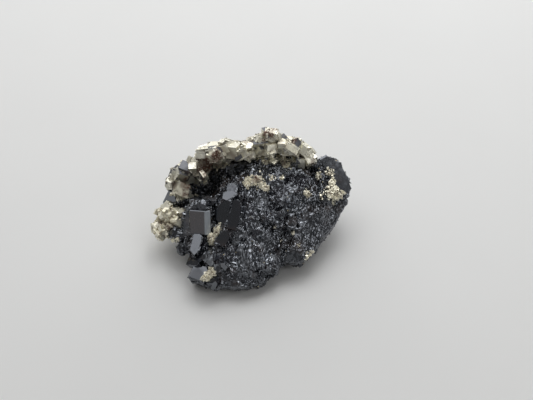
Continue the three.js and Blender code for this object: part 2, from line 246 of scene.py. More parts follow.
# The etched skin: how often its edges are halved, how squarely the base looks down, the height below which
# points stay in place, how finely and how far its facets bend, and the crystal mark of its smooth shading
SPLIT_ROUNDS = 7
BASE_FACING = -0.98
FOOT_HEIGHT = 0.05 * MM
ETCHING_SCALE = 0.4 / MM
ETCHING_BEND = 1.5 * MM
SMOOTH_SHADED = 0.3
# Overgrown places have ragged rims: how far and how finely they stray, and the settings of their noise
RAGGED_SHARE = 0.5
RAGGED_SIZE = 2.2 * MM
RAGGED_NOISE = (1.0, 2.0, 3)

# Forms of the crystals in shares of their size, how far lying ones tilt, and how far a region's ones stray
CUBE_SHAPE = (1.0, 0.9, 0.8)
BLOCK_SHAPE = (1.0, 0.8, 0.5)
SLAB_SHAPE = (1.4, 1.0, 0.3)
LATH_SHAPE = (1.0, 0.26, 0.2)
LATH_TILT = (0.75, 0.1)
SLAB_TILT = (0.28, 0.28)
REGION_JITTER = 0.12

# Steps between the seeds of separate draws
LATH_SEED = 20
GROWTH_SEED = 10
SPRINKLE_SEED = 97
SPRINKLE_TONE_SEED = 50

# Rays that tell how far a point is shut in: how many, how long, how far above it they start and how much
# they rise from it
HOLLOW_RAYS = 24
HOLLOW_REACH = 3 * MM
HOLLOW_LIFT = 0.05 * MM
HOLLOW_RISE = 0.15

# Sphalerite's finish: how far its streaks wander and its facets bend, in millimetres, how its streaks are
# turned and drawn out, its facets' tilt where it is calm and what is added where it is lively
SPHALERITE_IOR = 2.37
STREAK_WANDER = 7.0
STREAK_TURN = (0.5, 0.3, 0.9)
STREAK_STRETCH = (1.0, 0.24, 0.6)
FACET_BEND = 0.9
CALM_TILT = 0.15
LIVELY_TILT = 1.1
SPECK_RARITY = 0.985
FLASH_METAL = 0.8
# Its roughness, and what grit and dull spots add
SPHALERITE_ROUGHNESS = 0.05
GRIT_ROUGHNESS = 0.2
DULL_ROUGHNESS = 0.4

# Pyrite's finish: how deep its striations are and how far a face's tone shifts them, the share of its pits,
# how far stains stray, in millimetres, and how much metal its tarnish and painted hollow shade hide
STRIATION_DEPTH = 0.3 * MM
STRIATION_SHIFT = 40
PIT_SHARE = 0.25
STAIN_WANDER = 9.0
TARNISH_AND_SHADE_METAL = 0.36
# Its roughness, what a bright tone takes from it and what its tarnish and painted hollow shade add
PYRITE_ROUGHNESS = 0.5
TONE_SHINE = 0.34
TARNISH_AND_SHADE_ROUGHNESS = 0.2

# Each pyrite's share of metal and what small crystals lack of it, how strong its tarnish is in patches,
# and in hollows its tarnish and painted shade, from where to where it is shut in, and its colours from the
# dullest faces to the brightest
TARNISHED = "pyrite_tarnished"
FRESH = "pyrite_fresh"
FINISHES = {
    TARNISHED: {
        "metal": 0.68,
        "small_lack": 0.1,
        "patches": 0.6,
        "hollow_tarnish_and_shade": 0.5,
        "shut_in": (0.5, 1.0),
        "shades": ((0.06, "dark"), (0.1, "olive"), (0.26, "olive"), (0.34, "grey"), (0.75, "colour")),
    },
    FRESH: {
        "metal": 0.62,
        "small_lack": 0.28,
        "patches": 0.2,
        "hollow_tarnish_and_shade": 0.7,
        "shut_in": (0.35, 0.8),
        "shades": ((0.0, "olive"), (0.3, "colour"), (0.7, "cream")),
    },
}

# Each light's place from the camera's target, and its width and height
LIGHTS = {
    "top": ((-0.07, 0.20, 0.50), (0.9, 0.42)),
    "back": ((0.03, 0.52, 0.32), (1.1, 0.6)),
    "spark": ((0.10, 0.26, 0.48), (0.16, 0.16)),
    "fill": ((0.417, -0.183, 0.43), (0.28, 0.28)),
    "front": ((-0.28, -0.6, 0.26), (0.5, 0.4)),
}
AIR_COLOUR = (1.0, 0.98, 0.95)
FLOOR_REACH = 3.0
FLOOR_STEPS = 8
FLOOR_MOTTLE = 0.97


def view_axis(look):
    """From the camera's target towards the camera."""
    return Vector((0.0, -math.cos(look.elevation), math.sin(look.elevation)))


class Photo:
    """Finds places on the solids by where the photograph shows them."""

    def __init__(self, look):
        self.look = look
        points, faces = [], []
        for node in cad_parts.values():
            start = len(points)
            points += [vert.co.copy() for vert in node.data.vertices]
            faces += [[start + index for index in face.vertices] for face in node.data.polygons]
        self.solids = BVHTree.FromPolygons(points, faces)

    def focal(self):
        """The focal length in pixels of the photograph."""
        return self.look.lens / SENSOR * PHOTO_SIZE[0]

    def place(self, across, down):
        """The point of the solids at a pixel of the photograph."""
        back = view_axis(self.look)
        up = Vector((0.0, back.z, -back.y))
        right = Vector((1.0, 0.0, 0.0))
        aside = right * (across - PHOTO_SIZE[0] / 2) + up * (PHOTO_SIZE[1] / 2 - down)
        ray = aside - self.focal() * back
        camera = Vector(self.look.target) + self.look.distance * back
        found = self.solids.ray_cast(camera, ray.normalized())[0]
        if found is None:
            raise RuntimeError(f"nothing of the specimen is at {across}, {down}")
        return found

    def spots(self, marks):
        """Places and reaches on the solids, for marks of across, down and reach in the photograph."""
        pixel = self.look.distance / self.focal()
        return [(self.place(across, down), reach * pixel) for across, down, reach in marks]


class Wire:
    """An output socket, with arithmetic that adds Math nodes to its tree."""

    def __init__(self, board, socket):
        self.board = board
        self.socket = socket

    def __add__(self, other):
        return self.board.math("ADD", self, other)

    def __radd__(self, other):
        return self.board.math("ADD", other, self)

    def __sub__(self, other):
        return self.board.math("SUBTRACT", self, other)

    def __rsub__(self, other):
        return self.board.math("SUBTRACT", other, self)

    def __mul__(self, other):
        return self.board.math("MULTIPLY", self, other)

    def __rmul__(self, other):
        return self.board.math("MULTIPLY", other, self)

    def __truediv__(self, other):
        return self.board.math("DIVIDE", self, other)

    def __rtruediv__(self, other):
        return self.board.math("DIVIDE", other, self)

    def __gt__(self, other):
        return self.board.math("GREATER_THAN", self, other)


class Board:
    """A node tree, and the ways to put nodes on it."""

    def __init__(self, tree):
        self.tree = tree

    def node(self, kind, settings=None, values=None):
        """Adds a node, sets its settings, then its sockets, and returns its outputs by name."""
        made = self.tree.nodes.new(kind)
        for key, value in (settings or {}).items():
            if key == "stops":
                self._set_stops(made.color_ramp, value)
            else:
                setattr(made, key, value)
        for key, value in (values or {}).items():
            self._feed(self._socket(made, key), value)
        return {socket.name: Wire(self, socket) for socket in made.outputs if socket.enabled}

    def _set_stops(self, ramp, stops):
        while len(ramp.elements) < len(stops):
            ramp.elements.new(1.0)
        for element, (position, colour) in zip(ramp.elements, stops):
            element.position = position
            element.color = (*colour, 1.0)

    def _socket(self, made, key):
        if isinstance(key, int):
            return made.inputs[key]
        for socket in made.inputs:
            if socket.enabled and socket.name == key:
                return socket
        raise KeyError(f"{made.bl_idname} has no socket named {key}")

    def _feed(self, socket, value):
        if isinstance(value, list):
            for one in value:
                self._feed(socket, one)
        elif isinstance(value, Wire):
            self.tree.links.new(value.socket, socket)
        elif socket.type == "RGBA":
            socket.default_value = (*value, 1.0)
        else:
            socket.default_value = value

    def math(self, operation, *values):
        return self.node("ShaderNodeMath", {"operation": operation}, dict(enumerate(values)))["Value"]

    def vector(self, operation, *values):
        made = self.node("ShaderNodeVectorMath", {"operation": operation}, dict(enumerate(values)))
        return next(iter(made.values()))

    def scaled(self, vector, factor):
        settings = {"operation": "SCALE"}
        return self.node("ShaderNodeVectorMath", settings, {"Vector": vector, "Scale": factor})["Vector"]

    def mix(self, factor, first, second):
        values = {"Factor": factor, "A": first, "B": second}
        return self.node("ShaderNodeMix", {"data_type": "RGBA"}, values)["Result"]

    def ease(self, value, low, high):
        """0 below low, 1 above high and a smooth rise between them."""
        values = {"Value": value, "From Min": low, "From Max": high}
        return self.node("ShaderNodeMapRange", {"interpolation_type": "SMOOTHSTEP"}, values)["Result"]

    def noise(self, vector, scale, detail=2.0):
        values = {"Vector": vector, "Scale": scale, "Detail": detail}
        return self.node("ShaderNodeTexNoise", {}, values)

    def cells(self, vector, scale):
        return self.node("ShaderNodeTexVoronoi", {}, {"Vector": vector, "Scale": scale})

    def centred(self, colour):
        """A random colour as a vector round zero."""
        return self.vector("SUBTRACT", colour, (0.5, 0.5, 0.5))

    def near(self, place, middle, reach):
        """1 at a point, falling to 0 at its reach."""
        away = self.vector("DISTANCE", place, middle)
        return 1 - self.ease(away, SPOT_CORE * reach, reach)


def new_material(name):
    material = bpy.data.materials.new(name)
    material.use_nodes = True
    material.node_tree.nodes.clear()
    return material, Board(material.node_tree)


def finish_material(board, values):
    shader = board.node("ShaderNodeBsdfPrincipled", {}, values)
    board.node("ShaderNodeOutputMaterial", {}, {"Surface": shader["BSDF"]})


def attribute(board, name, output="Fac"):
    settings = {"attribute_type": "GEOMETRY", "attribute_name": name}
    return board.node("ShaderNodeAttribute", settings)[output]


def streaked(board, place):
    """Places drawn out along the wandering lines that the etching follows."""
    flow = board.centred(board.noise(place, scale=0.1, detail=1.0)["Color"])
    flowing = board.vector("ADD", place, board.scaled(flow, STREAK_WANDER))
    values = {"Vector": flowing, "Rotation": STREAK_TURN, "Scale": STREAK_STRETCH}
    return board.node("ShaderNodeMapping", {}, values)["Vector"]


def sphalerite_normal(board, look, place, streaks, crystal):
    """The normal, tilted facet by facet where the skin is etched and a little wavy on crystal faces."""
    wave = board.centred(board.noise(place, scale=0.9)["Color"])
    bent = board.vector("ADD", place, board.scaled(wave, FACET_BEND))
    coarse = board.centred(board.cells(bent, 1 / look.facet)["Color"])
    fine = board.centred(board.cells(streaks, 1 / look.fleck)["Color"])
    tilt = board.vector("ADD", board.scaled(coarse, look.facet_tilt), board.scaled(fine, look.fleck_tilt))
    lively = board.ease(board.noise(place, scale=0.17)["Fac"], low=0.4, high=0.58)
    facets = board.scaled(tilt, (1 - crystal) * (CALM_TILT + LIVELY_TILT * lively))
    tilt = board.vector("ADD", facets, board.scaled(wave, crystal * look.face_wave))
    normal = board.node("ShaderNodeNewGeometry")["Normal"]
    return board.vector("NORMALIZE", board.vector("ADD", normal, tilt))


def sphalerite_material(look, dull_spots):
    """Near-black and glassy: etched all over with tiny tilted facets, smooth on the crystal faces."""
    material, board = new_material("sphalerite")
    place = board.scaled(board.node("ShaderNodeTexCoord")["Object"], 1 / MM)
    crystal = attribute(board, "crystal")
    streaks = streaked(board, place)
    cell = board.cells(place, scale=1.7)
    rare = board.node("ShaderNodeSeparateColor", {}, {"Color": cell["Color"]})["Red"] > SPECK_RARITY
    specks = rare * (1 - board.ease(cell["Distance"], low=0.25, high=0.4)) * (1 - crystal)
    cloud = board.ease(board.noise(place, scale=0.25, detail=3.0)["Fac"], low=0.5, high=0.75)
    flash = board.ease(board.noise(streaks, scale=1.6)["Fac"], low=0.46, high=0.6)
    flash = attribute(board, "glitter") * flash
    brownish = board.math("MAXIMUM", cloud, attribute(board, "stepped"))
    colour = board.mix(brownish, look.colour, look.brown)
    # Painted light: the plate's side that looks across takes a lighter colour, as if lit
    colour = board.mix(attribute(board, "pale"), colour, look.painted_lit_colour)
    colour = board.mix(flash, colour, look.flash)
    grit = board.noise(place, scale=3.0)["Fac"]
    dull = sum(board.near(place, middle / MM, reach / MM) for middle, reach in dull_spots)
    finish_material(
        board,
        {
            "Base Color": board.mix(specks, colour, look.speck_colour),
            "Metallic": board.math("MAXIMUM", specks, FLASH_METAL * flash),
            "Roughness": SPHALERITE_ROUGHNESS + GRIT_ROUGHNESS * grit + DULL_ROUGHNESS * dull,
            "IOR": SPHALERITE_IOR,
            # Painted light: the reflections are tinted blue in place of a cool light
            "Specular Tint": look.tint,
            "Normal": sphalerite_normal(board, look, place, streaks, crystal),
        },
    )
    return material


def tarnish(board, place, pits, stains, finish):
    """Where pyrite is tarnished: in patches, where it is stained and in its hollows, which are also darkened
    as painted shade.
    """
    patches = board.ease(board.noise(place, scale=0.22, detail=3.0)["Fac"], low=0.56, high=0.72)
    most = patches * finish["patches"]
    drift = board.centred(board.noise(place, scale=0.35)["Color"])
    strayed = board.vector("ADD", place, board.scaled(drift, STAIN_WANDER))
    for middle, reach in stains:
        spot = board.near(strayed, middle / MM, reach / MM)
        most = board.math("MAXIMUM", most, spot * board.ease(pits, low=0.3, high=0.5))
    # Painted shade: points shut in by what stands round them are darkened, partly as tarnish
    shut_in = board.ease(attribute(board, "hollow"), *finish["shut_in"])
    return board.math("MAXIMUM", most, shut_in * finish["hollow_tarnish_and_shade"])


def pyrite_material(name, look, stains):
    """Pale brassy metal: striated crystal faces, each a little different, more or less tarnished, with
    painted shade in the hollows.
    """
    finish = FINISHES[name]
    material, board = new_material(name)
    place = board.scaled(board.node("ShaderNodeTexCoord")["Object"], 1 / MM)
    tone = attribute(board, "tone")
    along = board.vector("DOT_PRODUCT", place, attribute(board, "grain", "Vector"))
    values = {"W": along + STRIATION_SHIFT * tone, "Scale": 1.6, "Detail": 3.0}
    stripes = board.node("ShaderNodeTexNoise", {"noise_dimensions": "1D"}, values)["Fac"]
    pits = board.noise(place, scale=2.2, detail=3.0)["Fac"]
    height = stripes * board.ease(tone, low=0.2, high=0.4) + PIT_SHARE * pits
    values = {"Strength": look.striation, "Distance": STRIATION_DEPTH, "Height": height}
    bump = board.node("ShaderNodeBump", {}, values)["Normal"]
    mosaic = board.centred(board.cells(place, 1 / look.mosaic)["Color"])
    normal = board.vector("ADD", bump, board.scaled(mosaic, look.mosaic_tilt))
    tarnish_and_shade = tarnish(board, place, pits, stains, finish)
    stops = [(start, getattr(look, shade)) for start, shade in finish["shades"]]
    colour = board.node("ShaderNodeValToRGB", {"stops": stops}, {"Fac": tone})["Color"]
    lack = finish["small_lack"] * attribute(board, "small")
    finish_material(
        board,
        {
            "Base Color": board.mix(tarnish_and_shade, colour, look.tarnish),
            "Metallic": finish["metal"] - TARNISH_AND_SHADE_METAL * tarnish_and_shade - lack,
            "Roughness": PYRITE_ROUGHNESS - TONE_SHINE * tone + TARNISH_AND_SHADE_ROUGHNESS * tarnish_and_shade,
            "Normal": board.vector("NORMALIZE", normal),
        },
    )
    return material


def floor_material(look):
    """Pale matt sheet with the faintest mottling."""
    material, board = new_material("pale_sheet")
    place = board.node("ShaderNodeTexCoord")["Object"]
    cloud = board.noise(place, scale=30.0, detail=4.0)["Fac"]
    shade = tuple(FLOOR_MOTTLE * channel for channel in look.floor)
    finish_material(board, {"Base Color": board.mix(cloud, look.floor, shade), "Roughness": 0.85})
    return material


def merged_copy(node):
    """A CAD node's triangles with their shared corners merged."""
    mesh = bmesh.new()
    mesh.from_mesh(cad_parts[node].data)
    for layer in list(mesh.loops.layers.uv.values()):
        mesh.loops.layers.uv.remove(layer)
    bmesh.ops.remove_doubles(mesh, verts=mesh.verts, dist=MERGE_REACH)
    bmesh.ops.dissolve_degenerate(mesh, edges=mesh.edges, dist=MERGE_REACH)
    bmesh.ops.triangulate(mesh, faces=mesh.faces)
    mesh.normal_update()
    return mesh


def flat_faces(mesh):
    """The triangles of a bmesh in groups that lie in one plane and touch: its crystal faces."""
    groups = []
    seen = set()
    for start in mesh.faces:
        if start in seen:
            continue
        seen.add(start)
        group = [start]
        for face in group:
            for edge in face.edges:
                for other in edge.link_faces:
                    if other not in seen and face.normal.angle(other.normal, math.pi) < FLAT_TURN:
                        seen.add(other)
                        group.append(other)
        groups.append(group)
    return groups


def rim_of(group):
    """The edges round a group of faces."""
    inside = set(group)
    return [edge for face in group for edge in face.edges if any(f not in inside for f in edge.link_faces)]


def mark_crystals(mesh):
    """Marks the sphalerite's crystal faces, which the etching leaves smooth."""
    crystal = mesh.faces.layers.float.new("crystal")
    for group in flat_faces(mesh):
        area = sum(face.calc_area() for face in group) / MM**2
        rim = rim_of(group)
        length = sum(edge.calc_length() for edge in rim)
        sharp = sum(edge.calc_length() for edge in rim if edge.calc_face_angle(0) > SHARP_TURN)
        sized = CRYSTAL_AREAS[0] < area < CRYSTAL_AREAS[1] and len(rim) >= CRYSTAL_EDGES
        if sized and length and sharp / length > SHARP_SHARE:
            for face in group:
                face[crystal] = 1.0


def chamfered_block(mesh, corners, cut):
    """Adds a six-sided block with its edges cut off, and returns its faces."""
    middle = sum(corners, Vector()) / len(corners)
    inset = {}
    for side, ring in enumerate(BLOCK_SIDES):
        for step, corner in enumerate(ring):
            here = corners[corner]
            before = corners[ring[step - 1]]
            after = corners[ring[(step + 1) % len(ring)]]
            moved = here + cut * ((before - here).normalized() + (after - here).normalized())
            inset[side, corner] = mesh.verts.new(moved)
    rings = [[inset[side, corner] for corner in ring] for side, ring in enumerate(BLOCK_SIDES)]
    for side, ring in enumerate(BLOCK_SIDES):
        for one, two in zip(ring, ring[1:] + ring[:1]):
            for other in range(side + 1, len(BLOCK_SIDES)):
                if one in BLOCK_SIDES[other] and two in BLOCK_SIDES[other]:
                    rings.append([inset[side, two], inset[side, one], inset[other, one], inset[other, two]])
    for corner, place in enumerate(corners):
        three = [inset[side, corner] for side, ring in enumerate(BLOCK_SIDES) if corner in ring]
        turn = (three[1].co - three[0].co).cross(three[2].co - three[0].co)
        rings.append(three if turn.dot(place - middle) > 0 else three[::-1])
    faces = [mesh.faces.new(ring) for ring in rings]
    for face in faces:
        face.normal_update()
    return faces


def raise_plate(mesh, place, size):
    """Grows a plate with sloping sides on the crystal face at a place."""
    crystal = mesh.faces.layers.float["crystal"]
    stepped, pale = [mesh.faces.layers.float.new(name) for name in ("stepped", "pale")]
    marked = [group for group in flat_faces(mesh) if group[0][crystal] > 0]
    away = [min((face.calc_center_median() - place).length for face in group) for group in marked]
    under = marked[away.index(min(away))]
    for face in under:
        face[crystal] = BORDER_SMOOTHNESS
    out = under[0].normal.copy()
    across = Vector((1.0, 0.0, 0.0)).cross(out).cross(out).normalized() * -1
    up = out.cross(across)
    width, length, height = (Vector(size) / 2).to_tuple()
    corners = []
    for side in (-1, 1):
        for end in (-1, 1):
            foot = place + side * width * across + end * length * up
            slope = PLATE_SLOPES[side > 0] * width * across
            corners.append(foot - height * out)
            corners.append(foot - side * slope + 2 * height * out)
    for face in chamfered_block(mesh, corners, PLATE_BEVEL):
        face[crystal] = 1.0
        face[stepped] = 1.0 if face.normal.dot(out) > PLATE_TOP else 0.0
        # Painted light: the side that looks across is marked for a lighter colour, as if lit
        face[pale] = 1.0 if face.normal.dot(across) > PLATE_SIDE else 0.0
    bmesh.ops.triangulate(mesh, faces=[face for face in mesh.faces if len(face.verts) > 3])


def split_long_edges(mesh, longest):
    """Splits all but the base's edges until none is longer than a given length."""
    for _ in range(SPLIT_ROUNDS):
        edges = [
            edge
            for edge in mesh.edges
            if edge.calc_length() > longest
            and any(face.normal.z > BASE_FACING for face in edge.link_faces)
        ]
        if not edges:
            break
        bmesh.ops.subdivide_edges(mesh, edges=edges, cuts=1)
        bmesh.ops.triangulate(mesh, faces=[face for face in mesh.faces if len(face.verts) > 3])


def mark_etching(mesh, spots, calm_spots):
    """Unmarks overgrown faces, and marks how far the etching moves each point, less at calm spots."""
    crystal = mesh.faces.layers.float["crystal"]
    etched = mesh.verts.layers.float.new("etched")
    for face in mesh.faces:
        middle = face.calc_center_median()
        ragged = 1 + RAGGED_SHARE * noise.fractal(middle / RAGGED_SIZE, *RAGGED_NOISE)
        if any((middle - place).length < reach * ragged for place, reach in spots):
            face[crystal] = 0.0
    for vert in mesh.verts:
        smoothest = max(face[crystal] for face in vert.link_faces)
        vert[etched] = 1.0 - smoothest if vert.co.z > FOOT_HEIGHT else 0.0
        if any((vert.co - place).length < reach for place, reach in calm_spots):
            vert[etched] *= CALM_DEPTH
            for face in vert.link_faces:
                face[crystal] = max(face[crystal], CALM_SMOOTHNESS)


def new_tree(name, sizes, switches=()):
    """A new Geometry Nodes tree with inputs for its sizes and switches: its board and its inputs' wires."""
    tree = bpy.data.node_groups.new(name, "GeometryNodeTree")
    inputs = {"Geometry": "NodeSocketGeometry"}
    inputs.update(dict.fromkeys(sizes, "NodeSocketFloat"))
    inputs["Seed"] = "NodeSocketInt"
    inputs.update(dict.fromkeys(switches, "NodeSocketBool"))
    inputs["Material"] = "NodeSocketMaterial"
    for label, kind in inputs.items():
        tree.interface.new_socket(label, in_out="INPUT", socket_type=kind)
    tree.interface.new_socket("Geometry", in_out="OUTPUT", socket_type="NodeSocketGeometry")
    board = Board(tree)
    return board, board.node("NodeGroupInput")


def finish_tree(board, geometry, material, smooth=False):
    """Ends a tree with one plain mesh, its shading and its material."""
    solid = board.node("GeometryNodeRealizeInstances", {}, {"Geometry": geometry})["Geometry"]
    values = {"Geometry": solid, "Shade Smooth": smooth}
    shaded = board.node("GeometryNodeSetShadeSmooth", {}, values)["Geometry"]
    values = {"Geometry": shaded, "Material": material}
    done = board.node("GeometryNodeSetMaterial", {}, values)["Geometry"]
    board.node("NodeGroupOutput", {}, {"Geometry": done})


def named_float(board, name):
    settings = {"data_type": "FLOAT"}
    return board.node("GeometryNodeInputNamedAttribute", settings, {"Name": name})["Attribute"]


def random_value(board, kind, low, high, seed):
    values = {"Min": low, "Max": high, "Seed": seed}
    return board.node("FunctionNodeRandomValue", {"data_type": kind}, values)["Value"]


def dodecahedron(board):
    """A crystal with twelve faces, about one across."""
    ball = board.node("GeometryNodeMeshIcoSphere", {}, {"Radius": 0.62, "Subdivisions": 1})["Mesh"]
    return board.node("GeometryNodeDualMesh", {}, {"Mesh": ball})["Dual Mesh"]


def regional_turn(board, region, seed):
    """A turn that all the points of a region share, give or take a little."""
    place = board.node("GeometryNodeInputPosition")["Position"]
    shared = board.scaled(board.cells(place, 1 / region)["Color"], 2 * math.tau)
    least = (-REGION_JITTER,) * 3
    most = (REGION_JITTER,) * 3
    return board.vector("ADD", shared, random_value(board, "FLOAT_VECTOR", least, most, seed))


def lying_turn(board, points, region, tilt, seed):
    """A turn that lays a crystal along its surface, with a region's own spin and a little tilt."""
    place = board.node("GeometryNodeInputPosition")["Position"]
    cell = board.cells(place, 1 / region)
    spin = board.node("ShaderNodeSeparateXYZ", {}, {"Vector": cell["Color"]})["X"]
    tilts = [random_value(board, "FLOAT", -most, most, seed + axis) for axis, most in enumerate(tilt)]
    values = {"X": tilts[0], "Y": tilts[1], "Z": spin * math.tau}
    turn = board.node("ShaderNodeCombineXYZ", {}, values)["Vector"]
    values = {"Rotation": points["Rotation"], "Rotate By": turn}
    return board.node("FunctionNodeRotateRotation", {"rotation_space": "LOCAL"}, values)["Rotation"]


def scattered(board, surface, density, forms, least, most, region, seed, tilt=None):
    """Crystals of several forms and random sizes spread over a surface: lying if a tilt is given."""
    values = {"Mesh": surface, "Density": density, "Seed": seed}
    points = board.node("GeometryNodeDistributePointsOnFaces", {}, values)
    if tilt:
        turn = lying_turn(board, points, region, tilt, seed + 4)
    else:
        turn = regional_turn(board, region, seed + 3)
    parts = [
        board.node("GeometryNodeGeometryToInstance", {}, {"Geometry": form})["Instances"] for form in forms
    ]
    picks = board.node("GeometryNodeJoinGeometry", {}, {"Geometry": parts})["Geometry"]
    share = random_value(board, "FLOAT", 0.0, 1.0, seed + 1)
    size = least + (most - least) * share * share
    values = {
        "Points": points["Points"],
        "Instance": picks,
        "Pick Instance": True,
        "Instance Index": random_value(board, "INT", 0, len(forms) - 1, seed + 2),
        "Rotation": turn,
        "Scale": board.node("ShaderNodeCombineXYZ", {}, {"X": size, "Y": size, "Z": size})["Vector"],
    }
    return board.node("GeometryNodeInstanceOnPoints", {}, values)["Instances"]


def stored(board, instances, name, value):
    """Instances as one mesh whose faces carry a named value."""
    mesh = board.node("GeometryNodeRealizeInstances", {}, {"Geometry": instances})["Geometry"]
    settings = {"data_type": "FLOAT", "domain": "FACE"}
    values = {"Geometry": mesh, "Name": name, "Value": value}
    return board.node("GeometryNodeStoreNamedAttribute", settings, values)["Geometry"]


def tilted_facets(board, place, size, slope):
    """Height of a surface broken into random cells, each a little plane with a tilt of its own."""
    cell = board.cells(place, 1 / size)
    offset = board.vector("SUBTRACT", place, cell["Position"])
    return 2 * slope * board.vector("DOT_PRODUCT", offset, board.centred(cell["Color"]))


def etching_tree():
    """Breaks the sphalerite's etched skin into tilted facets and seeds it with small crystals."""
    board, given = new_tree(
        "etched_sphalerite",
        (
            "Ledge Size",
            "Ledge Slope",
            "Facet Size",
            "Facet Slope",
            "Grain Density",
            "Grain Least",
            "Grain Most",
            "Lath Density",
            "Lath Least",
            "Lath Most",
            "Region Size",
        ),
    )
    place = board.node("GeometryNodeInputPosition")["Position"]
    warp = board.centred(board.noise(place, ETCHING_SCALE)["Color"])
    bent = board.vector("ADD", place, board.scaled(warp, ETCHING_BEND))
    height = tilted_facets(board, bent, given["Ledge Size"], given["Ledge Slope"])
    height = height + tilted_facets(board, bent, given["Facet Size"], given["Facet Slope"])
    etched = named_float(board, "etched")
    normal = board.node("GeometryNodeInputNormal")["Normal"]
    values = {"Geometry": given["Geometry"], "Offset": board.scaled(normal, height * etched)}
    skin = board.node("GeometryNodeSetPosition", {}, values)["Geometry"]
    grains = scattered(
        board,
        skin,
        given["Grain Density"] * etched,
        [dodecahedron(board)],
        given["Grain Least"],
        given["Grain Most"],
        given["Region Size"],
        given["Seed"],
    )
    laths = scattered(
        board,
        skin,
        given["Lath Density"] * etched * (GLITTER_BASE + named_float(board, "glitter")),
        [board.node("GeometryNodeMeshCube", {}, {"Size": LATH_SHAPE})["Mesh"]],
        given["Lath Least"],
        given["Lath Most"],
        given["Region Size"],
        given["Seed"] + LATH_SEED,
        LATH_TILT,
    )
    crystals = [stored(board, made, "crystal", 1.0) for made in (grains, laths)]
    whole = board.node("GeometryNodeJoinGeometry", {}, {"Geometry": [skin, *crystals]})["Geometry"]
    rough = board.math("LESS_THAN", named_float(board, "crystal"), SMOOTH_SHADED)
    finish_tree(board, whole, given["Material"], rough)
    return board.tree


def growth_tree():
    """Seeds a surface with pyrite slabs, blocks and cubes, and keeps the surface if asked to."""
    board, given = new_tree(
        "pyrite_growth",
        ("Density", "Least", "Most", "Fine Density", "Fine Least", "Fine Most", "Region Size"),
        ("Keep Surface",),
    )
    cube, slab, block = [
        board.node("GeometryNodeMeshCube", {}, {"Size": shape})["Mesh"]
        for shape in (CUBE_SHAPE, SLAB_SHAPE, BLOCK_SHAPE)
    ]
    region = given["Region Size"]
    sizes = (("", "bulk", [slab, block]), ("Fine ", "growth", [cube, block]))
    crystals = []
    for step, (size, share, forms) in enumerate(sizes):
        density = given[size + "Density"] * named_float(board, share)
        least = given[size + "Least"]
        most = given[size + "Most"]
        seed = given["Seed"] + step
        tilt = None if step else SLAB_TILT
        made = scattered(board, given["Geometry"], density, forms, least, most, region, seed, tilt)
        made = stored(board, made, "given", 0.0)
        crystals.append(stored(board, made, "small", step))
    values = {"Switch": given["Keep Surface"], "True": given["Geometry"]}
    surface = board.node("GeometryNodeSwitch", {"input_type": "GEOMETRY"}, values)["Output"]
    whole = board.node("GeometryNodeJoinGeometry", {}, {"Geometry": [surface, *crystals]})["Geometry"]
    finish_tree(board, whole, given["Material"])
    return board.tree


def grown(name, mesh, tree, values):
    """An object whose plain mesh is what a tree makes of the mesh given."""
    holder = bpy.data.objects.new(name, mesh)
    bpy.context.scene.collection.objects.link(holder)
    modifier = holder.modifiers.new("growth", "NODES")
    modifier.node_group = tree
    for socket in tree.interface.items_tree:
        if socket.in_out == "INPUT" and socket.name in values:
            modifier[socket.identifier] = values[socket.name]
    bpy.context.view_layer.update()
    depsgraph = bpy.context.evaluated_depsgraph_get()
    plain = bpy.data.meshes.new_from_object(
        holder.evaluated_get(depsgraph), preserve_all_data_layers=True, depsgraph=depsgraph
    )
    holder.modifiers.remove(modifier)
    holder.data = plain
    plain.name = name
    if not plain.polygons:
        raise RuntimeError(f"{name} came out empty")
    return holder


def flatten(shape, ground, share):
    """Presses a growth towards the ground it sits on, to a share of its height."""
    for vert in shape.verts:
        foot = ground.find_nearest(vert.co)[0]
        vert.co = foot.lerp(vert.co, share)


def mark_growth(shape, bare, chosen, shade_spots):
    """Marks where crystals may grow: not on chosen faces, and only small ones near those or where shade is
    painted.
    """
    growth, bulk, given = [shape.faces.layers.float.new(name) for name in ("growth", "bulk", "given")]
    shape.faces.ensure_lookup_table()
    tree = BVHTree.FromBMesh(shape)
    tones = {shape.faces[tree.find_nearest(place)[2]]: tone for place, tone in chosen}
    for group in flat_faces(shape):
        area = sum(face.calc_area() for face in group)
        tone = max(tones.get(face, 0.0) for face in group)
        share = 0.0 if tone else min(1.0, bare / area)
        middle = group[0].calc_center_median()
        in_painted_shade = any((middle - place).length < reach for place, reach in shade_spots)
        beside = any((middle - place).length < BARE_REACH for place, _ in chosen)
        for face in group:
            face[growth] = share
            face[bulk] = 0.0 if in_painted_shade or beside else share
            face[given] = tone


def points_of(mesh):
    """A mesh's points as rows of numbers."""
    points = np.empty(len(mesh.vertices) * 3)
    mesh.vertices.foreach_get("co", points)
    return points.reshape(-1, 3)


def mark_spots(mesh, name, spots):
    """Marks a mesh's points with how near they are to the middle of a spot, from 0 to 1."""
    points = points_of(mesh)
    share = np.zeros(len(points))
    for middle, reach in spots:
        away = np.linalg.norm(points - np.array(middle), axis=1)
        share = np.maximum(share, np.clip(SPOT_RISE * (1 - away / reach), 0, 1))
    mesh.attributes.new(name, "FLOAT", "POINT").data.foreach_set("value", share)


def keep_in_box(mesh):
    """Brings points that stand out of the solids' box back to it."""
    low, high = (np.array(corner) for corner in CAD_BOX)
    held = np.clip(points_of(mesh), low, high)
    mesh.vertices.foreach_set("co", held.ravel())
    mesh.update()


